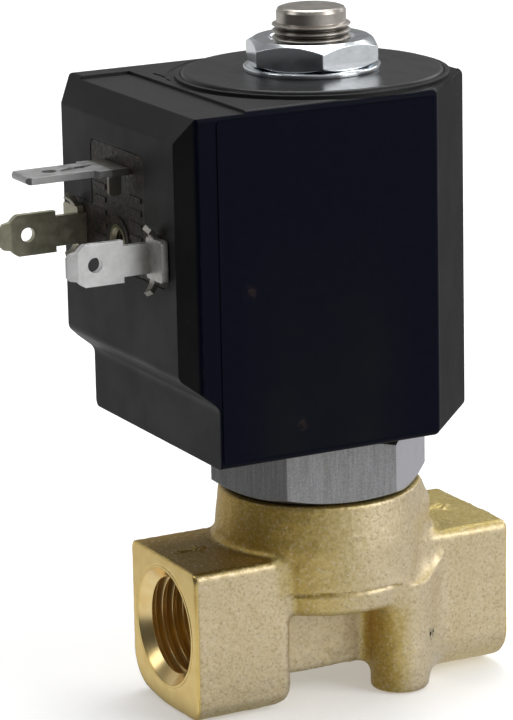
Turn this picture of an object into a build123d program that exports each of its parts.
from build123d import *
import math
import os

os.makedirs("parts", exist_ok=True)

# Two-way, normally closed, direct-acting solenoid valve.
# X is the flow axis (inlet at -X, outlet at +X), Z points up along the plunger and the
# electrical connector faces -X. Heights are laid out from the port axis. Each piece is
# written with Z = 0 on the foot plane, so the origin is the centre of the foot screw pattern.
# Names ending in _r are radii, _t thicknesses, and _x, _y, _z places on that axis.

# ---------------------------------------------------------------- shared dimensions
body_half_x = 20.7        # port face to plunger axis
body_bottom_z = -9.6      # lowest line of the port blocks and foot of the pillars
boss_top_z = 14.7
seat_lip_z = 7.2
nose_bore_r = 8.9
nose_shelf_z = 9.5        # ledge under the tube's O-ring

hex_bottom_z = 14.74
hex_top_z = 22.2
tube_r_out = 5.5
tube_r_in = 5.0
tube_bottom_z = 11.34
tube_top_z = 61.0
tube_flange_r = 6.4
tube_flange_t = 0.5
stud_r = 4.5              # M9 x 0.75
plunger_top_z = 41.0

coil_bottom_z = 22.9
coil_top_z = 63.1
coil_bore_r = 5.58
coil_front_y = 16.45
coil_low_left_x = -20.9
coil_flat_x = 6.9         # right-hand end of the flat front and back
connector_x = -25.03
cover_bottom_z = 62.28
cover_r = 15.1

# terminals, DIN EN 175301-803 style spacing
blade_y = 9.0
blade_z = 46.4
blade_t = 0.8
blade_w = 4.8
blade_root_half_w = 1.75
ground_z = 55.0
ground_root_half_w = 3.2
root_depth = 6.0          # terminal roots reach this far in from the connector face

CUT = Mode.SUBTRACT


# ---------------------------------------------------------------- helpers
def ring_thread(crest_r, root_r, pitch, start, count, crest_land, root_land, direction):
    """Points (r, axial) of an annular-groove thread starting and ending on a crest."""
    flank = (pitch - crest_land - root_land) / 2
    points = []
    axial = start
    for _ in range(count):
        points += [
            (crest_r, axial),
            (crest_r, axial + direction * crest_land),
            (root_r, axial + direction * (crest_land + flank)),
            (root_r, axial + direction * (crest_land + flank + root_land)),
        ]
        axial += direction * pitch
    return points + [(crest_r, axial), (crest_r, axial + direction * crest_land)]


def revolved(points, plane=Plane.XZ, axis=Axis.Z, arc=360.0):
    """Solid turned from a closed outline; on the default plane points are (radius, z)."""
    with BuildPart() as turned:
        with BuildSketch(plane):
            with BuildLine():
                Polyline(*points, close=True)
            make_face()
        revolve(axis=axis, revolution_arc=arc)
    return turned.part


def disc(start, length, outer_r, inner_r=0.0, base=Plane.XY):
    """Round bar or ring, from start along the normal of base."""
    with BuildPart() as bar:
        with BuildSketch(base.offset(start)):
            Circle(outer_r)
            if inner_r:
                Circle(inner_r, mode=CUT)
        extrude(amount=length)
    return bar.part


def o_ring(mid_r, mid_z, section_r):
    with BuildPart() as ring:
        with BuildSketch(Plane.XZ):
            with Locations((mid_r, mid_z)):
                Circle(section_r)
        revolve(axis=Axis.Z)
    return ring.part


def mirrored(half_outline, centre):
    """Whole outline from (x, half width) points, symmetric about the line at centre."""
    upper = [(x, centre + half) for x, half in half_outline]
    lower = [(x, centre - half) for x, half in reversed(half_outline)]
    return upper + lower


def save(part, label):
    """Write one piece, raised so that the foot plane lies at Z = 0."""
    placed = part.moved(Location((0, 0, -body_bottom_z)))
    placed.label = label
    export_step(placed, "parts/" + label + ".step")


# ---------------------------------------------------------------- valve body
block_inner_x = 8.3       # inner end of each port block
block_half_y = 8.5
block_top_z = 8.5
block_side_bottom_z = -8.25
block_near_bottom_z = -9.25   # underside is lower towards -Y at the inlet, +Y at the outlet
block_low_y = -0.6        # where the convex underside is lowest

boss_top_r = 11.8
boss_r = 12.4
web_width = 11.2
web_bottom_z = -6.6
web_height = 9.0
shoulder_arc = 84.0       # degrees, centred on +X

pillar_r = 3.45
pillar_pcd = 20.0
pillar_angle = -51.5      # degrees from +X
pillar_height = 16.0
pillar_root_height = 14.0
pillar_x = pillar_pcd / 2 * math.cos(math.radians(pillar_angle))
pillar_y = pillar_pcd / 2 * math.sin(math.radians(pillar_angle))

mount_minor_r = 1.65      # M4 tapping size
mount_major_r = 2.0
mount_pitch = 0.7
mount_hole_depth = 7.0
mount_cone_depth = 0.9
mount_chamfer = 0.3

# G1/4 female ports
port_major_r = 6.58
port_inlet_minor_r = 5.72
port_outlet_minor_r = 5.88    # crests bored a little wider, inside the thread's tolerance
port_pitch = 1.337
port_mouth_r = 6.85
port_mouth_depth = 0.75
port_thread_start = 1.75  # depth at which the countersink reaches the crests
port_depth = 11.6
port_cone_depth = 1.6
port_cone_r = 2.6

chamber_r = 6.9
chamber_floor_z = 4.6
seat_foot_r = 3.5
seat_lip_r = 2.6
orifice_r = 1.75
orifice_bottom_z = -0.5
passage_r = 2.0
inlet_riser_x = -5.25
inlet_riser_r = 1.45

# Drafted boss with a bevelled lower band: (radius, z).
BOSS_PROFILE = [
    (0, 1.2),
    (11.2, 1.2),
    (12.3, 4.1),
    (boss_r, 4.7),
    (boss_r, 9.6),
    (boss_top_r + 0.1, boss_top_z - 0.5),
    (boss_top_r - 0.4, boss_top_z),
    (0, boss_top_z),
]

# Cast shoulder on the boss: (radius, z).
SHOULDER_PROFILE = [
    (8.0, 13.9), (11.5, 13.9), (13.1, 12.0), (13.5, 10.6), (13.5, 8.0), (8.0, 8.0),
]

# Tube bore, chamber and the space above the raised seat: (radius, z).
CHAMBER_PROFILE = [
    (0, seat_lip_z + 0.001),
    (0, boss_top_z + 1),
    (nose_bore_r + 0.5, boss_top_z + 1),
    (nose_bore_r + 0.5, boss_top_z - 0.1),
    (nose_bore_r, boss_top_z - 0.6),
    (nose_bore_r, nose_shelf_z),
    (chamber_r, nose_shelf_z),
    (chamber_r, chamber_floor_z),
    (seat_foot_r, chamber_floor_z),
    (seat_lip_r, seat_lip_z),
]


def port_cutter(side, crest_r):
    """Countersunk threaded port opening towards side (-1 or 1) on X."""
    thread = ring_thread(
        crest_r, port_major_r, port_pitch, body_half_x - port_thread_start, 6, 0.20, 0.20, -1
    )
    cone_x = body_half_x - port_depth - port_cone_depth
    outline = [
        (body_half_x + 1, 0),
        (body_half_x + 1, port_mouth_r),
        (body_half_x - port_mouth_depth, port_mouth_r),
        *[(x, r) for r, x in thread],
        (body_half_x - port_depth, crest_r),
        (cone_x, port_cone_r),
        (cone_x, 0),
    ]
    return revolved([(side * x, r) for x, r in outline], axis=Axis.X)


def mount_hole_cutter(x, y):
    """Tapped hole running up from a pillar foot."""
    thread = ring_thread(
        mount_minor_r, mount_major_r, mount_pitch, body_bottom_z + mount_chamfer, 8, 0.12, 0.12, 1
    )
    outline = [
        (0, body_bottom_z - 1),
        (mount_major_r, body_bottom_z - 1),
        (mount_major_r, body_bottom_z),
        *thread,
        (mount_minor_r, body_bottom_z + mount_hole_depth),
        (0, body_bottom_z + mount_hole_depth + mount_cone_depth),
    ]
    plane = Plane(origin=(x, y, 0), x_dir=(1, 0, 0), z_dir=(0, -1, 0))
    return revolved(outline, plane, Axis((x, y, 0), (0, 0, 1)))


# Inlet port block: flat sides, convex underside, rounded corners.
with BuildPart() as port_block:
    with BuildSketch(Plane.YZ.offset(-body_half_x)) as block_profile:
        near_corner = (-block_half_y, block_near_bottom_z)
        far_corner = (block_half_y, block_side_bottom_z)
        with BuildLine():
            Polyline(
                near_corner,
                (-block_half_y, block_top_z),
                (block_half_y, block_top_z),
                far_corner,
            )
            ThreePointArc(far_corner, (block_low_y, body_bottom_z), near_corner)
        make_face()
        fillet(block_profile.vertices().group_by(Axis.Y)[-1], 1.1)
        fillet(block_profile.vertices().sort_by_distance(near_corner)[0], 0.9)
        fillet(block_profile.vertices().sort_by_distance(far_corner)[0], 3.4)
    extrude(amount=body_half_x - block_inner_x)
    fillet(port_block.faces().sort_by(Axis.X)[-1].outer_wire().edges(), 1.3)
    fillet(port_block.faces().sort_by(Axis.X)[0].outer_wire().edges(), 0.35)
    # underside runs up in a wide radius at the inner end
    with BuildSketch(Plane.XZ) as block_side:
        Polygon(
            (-body_half_x, block_top_z), (-body_half_x, body_bottom_z),
            (-block_inner_x, body_bottom_z), (-block_inner_x, block_top_z),
            align=None,
        )
        inner_corner = (-block_inner_x, body_bottom_z)
        fillet(block_side.vertices().sort_by_distance(inner_corner)[0], 2.6)
    extrude(amount=block_half_y, both=True, mode=Mode.INTERSECT)

# Pillar root blended along the block side.
with BuildPart() as pillar_root:
    with BuildSketch(Plane.XY.offset(web_bottom_z)) as root_profile:
        with Locations((pillar_x, pillar_y)):
            Circle(pillar_r)
        with Locations((11.4, -7.3)):
            Rectangle(6.0, 2.4)
        crease = root_profile.vertices().sort_by_distance((9.6, -block_half_y))[0]
        fillet(crease, 1.4)
    extrude(amount=pillar_root_height)

with BuildPart() as pillar:
    with BuildSketch(Plane.XY.offset(body_bottom_z)):
        with Locations((pillar_x, pillar_y)):
            Circle(pillar_r)
    extrude(amount=pillar_height)
    fillet(pillar.faces().sort_by(Axis.Z)[0].edges(), 0.5)

with BuildPart() as valve_body:
    add(port_block.part)
    add(port_block.part.rotate(Axis.Z, 180))
    add(revolved(BOSS_PROFILE))
    # web between the port blocks
    with BuildSketch(Plane.XY.offset(web_bottom_z)):
        Rectangle(2 * block_inner_x + 2, web_width)
    extrude(amount=web_height)
    # one pillar at each of two diagonal corners
    for corner_piece in (pillar_root.part, pillar.part):
        add(corner_piece)
        add(corner_piece.rotate(Axis.Z, 180))
    # cast shoulder that thickens the boss towards the outlet block
    shoulder_plane = Plane.XZ.rotated((0, 0, -shoulder_arc / 2))
    add(revolved(SHOULDER_PROFILE, shoulder_plane, arc=shoulder_arc))
    add(revolved(CHAMBER_PROFILE), mode=CUT)
    add(port_cutter(-1, port_inlet_minor_r), mode=CUT)
    add(port_cutter(1, port_outlet_minor_r), mode=CUT)
    # inlet passage and its riser to the annular chamber
    riser_plane = Plane(origin=(inlet_riser_x, 0, 0))
    add(disc(-9.0, 4.4, passage_r, base=Plane.YZ), mode=CUT)
    add(disc(-0.6, 6.0, inlet_riser_r, base=riser_plane), mode=CUT)
    # outlet passage under the seat, and the orifice down to it
    add(disc(-1.6, 9.6, passage_r, base=Plane.YZ), mode=CUT)
    add(disc(orifice_bottom_z, 8.6, orifice_r), mode=CUT)
    for sign in (1, -1):
        add(mount_hole_cutter(sign * pillar_x, sign * pillar_y), mode=CUT)
save(valve_body.part, "valve_body")

# ---------------------------------------------------------------- armature tube
hex_af = 22.4
hex_angle = 45.5          # first corner, degrees from +X
fit_gap = 0.02            # radial gap between pieces of the tube
seal_groove_r_out = 8.8
seal_groove_r_in = 6.9
seal_groove_depth = 0.6

# Envelope that turns the hexagon's corners off, top and bottom: (radius, z).
HEX_ENVELOPE = [
    (0, hex_bottom_z),
    (10.8, hex_bottom_z),
    (13.2, hex_bottom_z + 1.15),
    (13.2, hex_top_z - 1.0),
    (11.0, hex_top_z),
    (0, hex_top_z),
]

with BuildPart() as tube_base:
    with BuildSketch(Plane.XY.offset(hex_bottom_z)):
        RegularPolygon(hex_af / 2 / math.cos(math.pi / 6), 6, rotation=hex_angle)
    extrude(amount=hex_top_z - hex_bottom_z)
    add(revolved(HEX_ENVELOPE), mode=Mode.INTERSECT)
    # nose below the hexagon, tube bore and recess for the tube's flange
    add(disc(tube_bottom_z, hex_bottom_z - tube_bottom_z, nose_bore_r - 0.03))
    add(disc(tube_bottom_z, hex_top_z - tube_bottom_z, tube_r_out + fit_gap), mode=CUT)
    add(disc(tube_bottom_z, tube_flange_t + 0.02, tube_flange_r + fit_gap), mode=CUT)
    # groove for the coil seal in the upper face
    add(
        disc(hex_top_z - seal_groove_depth, seal_groove_depth, seal_groove_r_out, seal_groove_r_in),
        mode=CUT,
    )
save(tube_base.part, "tube_base")

GUIDE_TUBE_PROFILE = [  # (radius, z)
    (tube_r_in, tube_bottom_z),
    (tube_flange_r, tube_bottom_z),
    (tube_flange_r, tube_bottom_z + tube_flange_t),
    (tube_r_out, tube_bottom_z + tube_flange_t),
    (tube_r_out, tube_top_z),
    (tube_r_in, tube_top_z),
]
save(revolved(GUIDE_TUBE_PROFILE), "guide_tube")

save(o_ring(7.92, nose_shelf_z + 0.91, 0.88), "tube_o_ring")

# Fixed core with its shoulder above the tube and a threaded stud.
core_bottom_z = 42.8
core_r = tube_r_in - fit_gap
shoulder_r = tube_r_out - 0.01
shoulder_bottom_z = tube_top_z + 0.01
stud_root_r = 4.05
stud_pitch = 0.75
stud_thread_top_z = 68.95
stud_top_z = 70.88
pilot_r = 4.0             # plain end of the stud
shading_r_out = 4.1
shading_r_in = 3.2
shading_depth = 1.3

stud_thread = ring_thread(
    stud_r, stud_root_r, stud_pitch, stud_thread_top_z, 7, 0.14, 0.10, -1
)
CORE_PROFILE = [  # (radius, z)
    (0, core_bottom_z),
    (core_r, core_bottom_z),
    (core_r, shoulder_bottom_z),
    (shoulder_r, shoulder_bottom_z),
    (shoulder_r, 62.5),
    (stud_root_r, 62.9),
    *reversed(stud_thread),
    (pilot_r, stud_thread_top_z + 0.22),
    (pilot_r, stud_top_z - 0.5),
    (pilot_r - 0.18, stud_top_z - 0.14),
    (pilot_r - 0.55, stud_top_z),
    (0, stud_top_z),
]
with BuildPart() as fixed_core:
    add(revolved(CORE_PROFILE))
    # groove for the shading ring
    add(disc(core_bottom_z, shading_depth, shading_r_out, shading_r_in), mode=CUT)
save(fixed_core.part, "fixed_core")

save(
    disc(core_bottom_z + 0.05, 1.23, shading_r_out - fit_gap, shading_r_in + fit_gap),
    "shading_ring",
)

# ---------------------------------------------------------------- plunger
plunger_r = 4.93
plunger_bottom_z = 7.55
spring_pocket_r = 3.1
spring_pocket_z = plunger_top_z - 8.0
seal_r = 3.4
seal_pocket_depth = 2.3
flat_centre_y = 5.2
flat_cut_width = 1.2

PLUNGER_PROFILE = [  # (radius, z)
    (0, plunger_bottom_z),
    (4.3, plunger_bottom_z),
    (plunger_r, plunger_bottom_z + 0.6),
    (plunger_r, plunger_top_z - 0.4),
    (plunger_r - 0.4, plunger_top_z),
    (spring_pocket_r, plunger_top_z),
    (spring_pocket_r, spring_pocket_z),
    (0, spring_pocket_z),
]
with BuildPart() as plunger:
    add(revolved(PLUNGER_PROFILE))
    add(disc(plunger_bottom_z, seal_pocket_depth, seal_r + fit_gap), mode=CUT)
    # two pressure-balance flats
    with BuildSketch(Plane.XY.offset(plunger_bottom_z)):
        with Locations((0, flat_centre_y), (0, -flat_centre_y)):
            Rectangle(6, flat_cut_width)
    extrude(amount=plunger_top_z - plunger_bottom_z, mode=CUT)
save(plunger.part, "plunger")

with BuildPart() as seal_disc:
    add(disc(seat_lip_z + 0.02, 2.55, seal_r))
    fillet(seal_disc.faces().sort_by(Axis.Z)[0].edges(), 0.2)
save(seal_disc.part, "seal_disc")

spring_r = 2.5
spring_wire_r = 0.3
spring_bottom_z = spring_pocket_z + 0.4
with BuildPart() as plunger_spring:
    with BuildLine():
        Helix(pitch=1.2, height=9.0, radius=spring_r, center=(0, 0, spring_bottom_z))
    with BuildSketch(
        Plane(origin=(spring_r, 0, spring_bottom_z), x_dir=(1, 0, 0), z_dir=(0, 1, 0))
    ):
        Circle(spring_wire_r)
    sweep(is_frenet=True)
save(plunger_spring.part, "plunger_spring")

# ---------------------------------------------------------------- coil housing
coil_left_x = -22.9       # where the top and sides meet the connector bevels
coil_right_x = 16.05
coil_right_half_y = 6.7
lower_block_top_z = 30.0
connector_half_y = 14.5
connector_bottom_z = 33.4
connector_top_z = 60.0

pad_r = 16.3
pad_step_r = 15.75
cavity_r = 13.2
cavity_floor_z = 23.9
cavity_height = 38.4
pocket_z = 50.2           # centre of the middle part of the terminal pocket

# Lines of the connector end are carried past the block so the cuts run clear.
bevel_slope = (coil_front_y - connector_half_y) / (coil_left_x - connector_x)
plan_wide_x = -20.0
plan_half_y = coil_front_y + bevel_slope * (plan_wide_x - coil_left_x)

# Plan of the main block, flat front and back, slanting to a narrower right face: (x, half y).
BLOCK_HALF_PLAN = [
    (-40, coil_front_y), (coil_flat_x, coil_front_y), (coil_right_x, coil_right_half_y),
]

# Plan of the connector end, corners taken off at the sides: (x, half y).
CONNECTOR_HALF_PLAN = [
    (connector_x - 1, connector_half_y - bevel_slope),
    (plan_wide_x, plan_half_y),
    (30, plan_half_y),
]

# Side of the connector end, undercut below and bevelled above: (x, z).
lower_step = (coil_low_left_x, lower_block_top_z)
connector_bottom = (connector_x, connector_bottom_z)
connector_top = (connector_x, connector_top_z)
CONNECTOR_SIDE = [
    (coil_low_left_x, 20),
    lower_step,
    connector_bottom,
    connector_top,
    (coil_left_x + 0.7, coil_top_z + 1.02),
    (coil_left_x + 0.7, 70),
    (20, 70),
    (20, 20),
]


def terminal_block(face_x, depth, gap):
    """Terminal pocket shape, smaller by gap on every side, running in from face_x."""
    with BuildPart() as block:
        with BuildSketch(Plane.YZ.offset(face_x)):
            with Locations((0, pocket_z)):
                RectangleRounded(13.6 - 2 * gap, 14.0 - 2 * gap, 1.0 - gap)
            with Locations((blade_y, blade_z), (-blade_y, blade_z)):
                RectangleRounded(6.2 - 2 * gap, 6.4 - 2 * gap, 0.8 - gap)
        extrude(amount=depth)
    return block.part


with BuildPart() as coil_housing:
    with BuildSketch(Plane.XY.offset(coil_bottom_z)):
        with BuildLine():
            Polyline(*mirrored(BLOCK_HALF_PLAN, 0), close=True)
        make_face()
    extrude(amount=coil_top_z - coil_bottom_z)
    fillet(coil_housing.edges().filter_by(Axis.Z).group_by(Axis.X)[-1], 0.8)
    fillet(coil_housing.edges().filter_by(Axis.Z).group_by(Axis.X)[1], 0.5)
    # rims of the top and bottom, all but the left-hand edge
    fillet(
        coil_housing.faces().sort_by(Axis.Z)[-1].edges().sort_by(Axis.X)[1:]
        + coil_housing.faces().sort_by(Axis.Z)[0].edges().sort_by(Axis.X)[1:],
        0.8,
    )
    with BuildSketch(Plane.XZ) as side_profile:
        with BuildLine():
            Polyline(*CONNECTOR_SIDE, close=True)
        make_face()
        for corner, radius in ((lower_step, 1.5), (connector_bottom, 1.2), (connector_top, 0.8)):
            fillet(side_profile.vertices().sort_by_distance(corner)[0], radius)
    extrude(amount=20, both=True, mode=Mode.INTERSECT)
    with BuildSketch(Plane.XY.offset(20)):
        with BuildLine():
            Polyline(*mirrored(CONNECTOR_HALF_PLAN, 0), close=True)
        make_face()
    extrude(amount=50, mode=Mode.INTERSECT)
    # lowered panel on the connector side of the top
    with BuildSketch(Plane.XY.offset(coil_top_z - 0.35)):
        with Locations((-21.5, -2.0)):
            Rectangle(9.0, 30.0)
    extrude(amount=2, mode=CUT)
    # fine parting groove beside it
    with BuildSketch(Plane.XY.offset(coil_top_z - 0.3)):
        with Locations((-15.3, 1.6)):
            Rectangle(0.4, 17.0)
    extrude(amount=2, mode=CUT)
    # raised round pad around the cover seat, with its rim stepped down
    add(disc(coil_top_z - 1.0, 1.25, pad_r))
    add(disc(coil_top_z - 0.2, 1.25, pad_r + 0.5, pad_step_r), mode=CUT)
    # room for the cover, then for the frame and bobbin
    add(disc(cover_bottom_z - 0.03, 4, cover_r + 0.05), mode=CUT)
    with BuildSketch(Plane.XY.offset(cavity_floor_z)):
        Circle(cavity_r)
        Rectangle(13.4, 30.0)
    extrude(amount=cavity_height, mode=CUT)
    add(disc(coil_bottom_z, 2, coil_bore_r), mode=CUT)
    # pocket for the terminal carrier, open to the winding space
    add(terminal_block(connector_x, 14, 0), mode=CUT)
save(coil_housing.part, "coil_housing")

cover_top_z = 63.7
with BuildPart() as coil_top_cover:
    add(disc(cover_bottom_z, cover_top_z - cover_bottom_z, cover_r, coil_bore_r + 0.02))
    fillet(coil_top_cover.faces().sort_by(Axis.Z)[-1].outer_wire().edges(), 0.55)
save(coil_top_cover.part, "coil_top_cover")

# ---------------------------------------------------------------- bobbin and magnetic frame
bobbin_bottom_z = 26.5
bobbin_top_z = 59.7
flange_t = 1.1
flange_r = 12.9
barrel_r = 8.0
bobbin_bore_r = 5.62      # between the flux sleeves
bobbin_end_bore_r = 7.0   # around the flux sleeves
lower_step_z = 32.2
upper_step_z = 54.0
lower_flange_z = bobbin_bottom_z + flange_t
upper_flange_z = bobbin_top_z - flange_t

BOBBIN_PROFILE = [  # (radius, z)
    (bobbin_end_bore_r, bobbin_bottom_z),
    (flange_r, bobbin_bottom_z),
    (flange_r, lower_flange_z),
    (barrel_r, lower_flange_z),
    (barrel_r, upper_flange_z),
    (flange_r, upper_flange_z),
    (flange_r, bobbin_top_z),
    (bobbin_end_bore_r, bobbin_top_z),
    (bobbin_end_bore_r, upper_step_z),
    (bobbin_bore_r, upper_step_z),
    (bobbin_bore_r, lower_step_z),
    (bobbin_end_bore_r, lower_step_z),
]
save(revolved(BOBBIN_PROFILE), "bobbin")

# Enamelled copper winding: a barrel with the outer turns as fine ridges.
winding_r = 12.0
winding_inner_r = barrel_r + 0.03
winding_bottom_z = lower_flange_z + 0.05
winding_top_z = upper_flange_z - 0.1
WINDING_PROFILE = [  # (radius, z)
    (winding_inner_r, winding_bottom_z),
    *ring_thread(winding_r, 11.85, 1.2, winding_bottom_z, 25, 0.6, 0.2, 1),
    (winding_r, winding_top_z),
    (winding_inner_r, winding_top_z),
]
save(revolved(WINDING_PROFILE), "coil_winding")

yoke_bottom_z = cavity_floor_z + 0.05
yoke_top_z = 62.2
yoke_plate_t = 2.4
yoke_width = 13.0
yoke_length = 29.6
yoke_side_t = 1.6
yoke_side_y = (yoke_length - yoke_side_t) / 2

with BuildPart() as yoke_frame:
    # lower and upper plates, then the two sides
    for plate_z in (yoke_bottom_z, yoke_top_z - yoke_plate_t):
        with BuildSketch(Plane.XY.offset(plate_z)):
            Rectangle(yoke_width, yoke_length)
            Circle(10.8)
            Circle(7.03, mode=CUT)
        extrude(amount=yoke_plate_t)
    with BuildSketch(Plane.XY.offset(yoke_bottom_z)):
        with Locations((0, yoke_side_y), (0, -yoke_side_y)):
            Rectangle(yoke_width, yoke_side_t)
    extrude(amount=yoke_top_z - yoke_bottom_z)
save(yoke_frame.part, "yoke_frame")

for label, bottom_z, top_z in (
    ("lower_flux_sleeve", yoke_bottom_z, lower_step_z - 0.1),
    ("upper_flux_sleeve", upper_step_z + 0.1, yoke_top_z),
):
    save(disc(bottom_z, top_z - bottom_z, bobbin_end_bore_r - 0.02, coil_bore_r), label)

# ---------------------------------------------------------------- terminal carrier
insert_r = 2.0
insert_boss_r = 2.9
insert_plane = Plane(origin=(0, 0, blade_z), x_dir=(0, 1, 0), z_dir=(1, 0, 0))
slot_gap = 0.06           # slot size over terminal size
rib_pitch = 1.5

# Insulating block set almost flush into the connector face.
with BuildPart() as terminal_carrier:
    add(terminal_block(connector_x + 0.04, 11.26, 0.05))
    # two columns of ribs on the exposed face
    for k in range(6):
        rib_z = 44.6 + rib_pitch * k
        with BuildSketch(Plane.YZ.offset(connector_x - 0.08)):
            with Locations((-4.6, rib_z), (4.6, rib_z)):
                Rectangle(3.0, 0.6)
        extrude(amount=1.0)
    # boss and hole for the threaded insert
    add(disc(connector_x - 0.1, 2.0, insert_boss_r, base=insert_plane))
    add(disc(connector_x - 0.2, 9.0, insert_r + 0.02, base=insert_plane), mode=CUT)
    # slots for the three blades
    with BuildSketch(Plane.YZ.offset(connector_x)):
        with Locations((blade_y, blade_z), (-blade_y, blade_z)):
            Rectangle(blade_t + slot_gap, 2 * blade_root_half_w + slot_gap)
        with Locations((0, ground_z)):
            Rectangle(2 * ground_root_half_w + slot_gap, blade_t + slot_gap)
    extrude(amount=root_depth + 0.05, mode=CUT)
save(terminal_carrier.part, "terminal_carrier")

# Threaded insert, open towards -X.
insert_minor_r = 1.25
insert_thread = ring_thread(insert_minor_r, 1.5, 0.5, connector_x + 0.3, 11, 0.08, 0.08, 1)
INSERT_PROFILE = [  # (x, radius)
    (connector_x - 0.15, 1.62),
    (connector_x - 0.15, insert_r),
    (connector_x + 8.0, insert_r),
    (connector_x + 8.0, 0),
    (connector_x + 6.6, 0),
    (connector_x + 6.1, insert_minor_r),
    *[(x, r) for r, x in reversed(insert_thread)],
]
save(
    revolved(
        INSERT_PROFILE,
        Plane(origin=(0, 0, blade_z), x_dir=(1, 0, 0), z_dir=(0, -1, 0)),
        Axis((0, 0, blade_z), (1, 0, 0)),
    ),
    "connector_insert",
)

# ---------------------------------------------------------------- terminals
root_x = connector_x + root_depth

# Power blade from its chamfered tip to its narrower root: (x, half width along Z).
BLADE_HALF_OUTLINE = [
    (-35.7, 1.1),
    (-35.3, 1.5),
    (-34.45, 1.65),
    (-33.95, blade_w / 2 - 0.25),
    (-33.55, blade_w / 2),
    (-28.85, blade_w / 2),
    (-28.85, blade_root_half_w),
    (root_x, blade_root_half_w),
]

# Ground blade, widening at the root: (x, half width along Y).
GROUND_HALF_OUTLINE = [
    (-37.0, 1.9),
    (-36.5, 2.4),
    (-28.9, 2.4),
    (-28.5, ground_root_half_w),
    (root_x, ground_root_half_w),
]

# Curl of a locating leg: (x from connector face, y outward from blade, z from blade centre).
LEG_CURL = [(-0.5, 1.2, 2.2), (-0.85, 1.35, 3.0), (-1.6, 1.75, 3.6)]


def power_terminal(centre_y):
    """Upright blade with coined tip, foot plate and small locating legs."""
    outward = math.copysign(1, centre_y)
    with BuildPart() as blade:
        with BuildSketch(Plane.XZ.offset(-(centre_y + blade_t / 2))):
            with BuildLine():
                Polyline(*mirrored(BLADE_HALF_OUTLINE, blade_z), close=True)
            make_face()
            with Locations((-32.35, blade_z)):
                Circle(0.85, mode=CUT)
        extrude(amount=blade_t)
        # the tip is coined thinner from both sides
        for side in (1, -1):
            with BuildSketch(Plane.XY.offset(blade_z - 3)):
                with BuildLine():
                    Polyline(
                        (-35.9, centre_y + side * 0.13),
                        (-34.35, centre_y + side * (blade_t / 2 + 0.01)),
                        (-34.35, centre_y + side * 0.7),
                        (-35.9, centre_y + side * 0.7),
                        close=True,
                    )
                make_face()
            extrude(amount=6, mode=CUT)
        # foot plate just in front of the connector face
        with BuildSketch(Plane.YZ.offset(connector_x - 0.9)):
            with Locations((centre_y + outward * 1.9, blade_z + 0.1)):
                RectangleRounded(3.9, 4.7, 0.4)
        extrude(amount=0.8)
        # curled locating legs, one at each end of the foot
        for up in (1, -1):
            curl = [
                (connector_x + x, centre_y + outward * y, blade_z + up * z)
                for x, y, z in LEG_CURL
            ]
            with BuildSketch(Plane(origin=curl[0], x_dir=(1, 0, 0), z_dir=(0, 0, up))):
                Rectangle(0.6, 1.1)
            with BuildLine():
                ThreePointArc(*curl)
            sweep()
    return blade.part


save(power_terminal(-blade_y), "power_terminal_1")
save(power_terminal(blade_y), "power_terminal_2")

with BuildPart() as ground_terminal:
    with BuildSketch(Plane.XY.offset(ground_z - blade_t / 2)):
        with BuildLine():
            Polyline(*mirrored(GROUND_HALF_OUTLINE, 0), close=True)
        make_face()
        with Locations((-33.3, 0)):
            Circle(0.8, mode=CUT)
    extrude(amount=blade_t)
    chamfer(ground_terminal.faces().sort_by(Axis.X)[0].edges().filter_by(Axis.Y), 0.25)
    # stamped grip marks on the upper side
    for k in range(4):
        with BuildSketch(Plane.XY.offset(ground_z + blade_t / 2 - 0.12)):
            with Locations(Location((-31.2 + 0.85 * k, 0.1 * k, 0), (0, 0, 32))):
                SlotOverall(2.2, 0.34)
        extrude(amount=0.3, mode=CUT)
    # down-turned leg on the -Y side of the root
    with BuildSketch(Plane.XZ.offset(2.4)):
        with Locations((-26.6, ground_z - 1.3)):
            RectangleRounded(1.5, 2.6, 0.35)
    extrude(amount=0.5)
save(ground_terminal.part, "ground_terminal")

# Enamelled lead-outs running from the winding towards the connector.
with BuildPart() as winding_leads:
    for side in (1, -1):
        lead_plane = Plane(origin=(-12.15, side * 3.6, 52.0), x_dir=(0, 1, 0), z_dir=(-1, 0, 0))
        add(disc(0, 1.3, 0.22, base=lead_plane))
save(winding_leads.part, "winding_leads")

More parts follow.
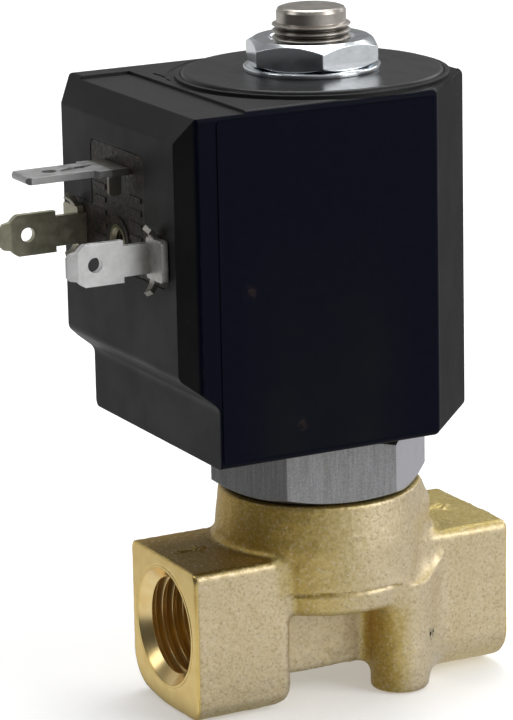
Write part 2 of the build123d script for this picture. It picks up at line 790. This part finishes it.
# ---------------------------------------------------------------- name plate, on the -Y face
plate_t = 0.12
plate_centre = ((coil_low_left_x + coil_flat_x) / 2, (coil_bottom_z + coil_top_z) / 2)
plate_width = coil_flat_x - coil_low_left_x - 0.5
plate_height = coil_top_z - coil_bottom_z - 1.7

with BuildPart() as name_plate:
    with BuildSketch(Plane.XZ.offset(coil_front_y + 0.01)):
        with Locations(plate_centre):
            RectangleRounded(plate_width, plate_height, 0.4)
    extrude(amount=plate_t)
save(name_plate.part, "name_plate")

# ---------------------------------------------------------------- nut, washer and coil seal
save(o_ring((seal_groove_r_out + seal_groove_r_in) / 2, hex_top_z + 0.02, 0.6), "coil_seal")

washer_r = 7.9
washer_bottom_z = 63.72
washer_top_z = 64.3
with BuildPart() as coil_washer:
    add(disc(washer_bottom_z, washer_top_z - washer_bottom_z, washer_r, stud_r + 0.15))
    fillet(coil_washer.faces().sort_by(Axis.Z)[-1].outer_wire().edges(), 0.22)
save(coil_washer.part, "coil_washer")

nut_af = 14.0
nut_angle = 11.0          # first corner, degrees from +X
nut_bottom_z = 64.32
nut_top_z = 67.4
nut_bore_r = stud_r + 0.06
nut_mouth_r = 5.0
nut_mouth_depth = 0.44

# Envelope that turns the corners off: (radius, z).
NUT_ENVELOPE = [
    (0, nut_bottom_z),
    (7.0, nut_bottom_z),
    (8.3, nut_bottom_z + 0.62),
    (8.3, nut_top_z - 1.02),
    (6.6, nut_top_z),
    (0, nut_top_z),
]

# Plain bore, countersunk at both ends: (radius, z).
NUT_BORE = [
    (0, nut_bottom_z),
    (nut_mouth_r, nut_bottom_z),
    (nut_bore_r, nut_bottom_z + nut_mouth_depth),
    (nut_bore_r, nut_top_z - nut_mouth_depth),
    (nut_mouth_r, nut_top_z),
    (0, nut_top_z),
]
with BuildPart() as coil_nut:
    with BuildSketch(Plane.XY.offset(nut_bottom_z)):
        RegularPolygon(nut_af / 2 / math.cos(math.pi / 6), 6, rotation=nut_angle)
    extrude(amount=nut_top_z - nut_bottom_z)
    add(revolved(NUT_ENVELOPE), mode=Mode.INTERSECT)
    add(revolved(NUT_BORE), mode=CUT)
save(coil_nut.part, "coil_nut")
